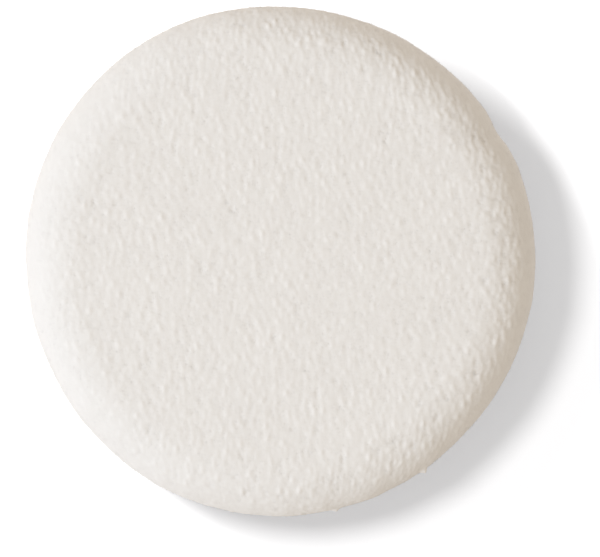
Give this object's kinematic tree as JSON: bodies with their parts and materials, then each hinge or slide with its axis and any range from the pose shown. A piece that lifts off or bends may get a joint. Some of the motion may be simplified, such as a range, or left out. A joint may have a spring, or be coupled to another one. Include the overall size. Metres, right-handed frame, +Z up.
{
  "type": "powder puff",
  "caption": "Round velour powder puff: soft covers sewn at the rim over a foam disc, with a satin ribbon across the back for the fingers.",
  "frame": {"origin": "on the surface that the puff lies on, under the middle of the pad", "axes": "+Z up, out of the powder face; +X along the ribbon; +Y across it, the picture's upward direction"},
  "size_m": [0.07, 0.07, 0.02],
  "materials": {
    "velour": "off-white knitted velour with a short, dense, slightly brushed pile",
    "foam": "open-cell polyurethane foam",
    "satin": "off-white satin ribbon with woven edges",
    "thread": "spun polyester sewing thread"
  },
  "bodies": {
    "root": {"front_cover": "velour", "back_cover": "velour", "foam_core": "foam", "finger_ribbon": "satin", "seam_needle_thread": "thread", "seam_bobbin_thread": "thread", "closing_thread": "thread"}
  },
  "joints": []
}
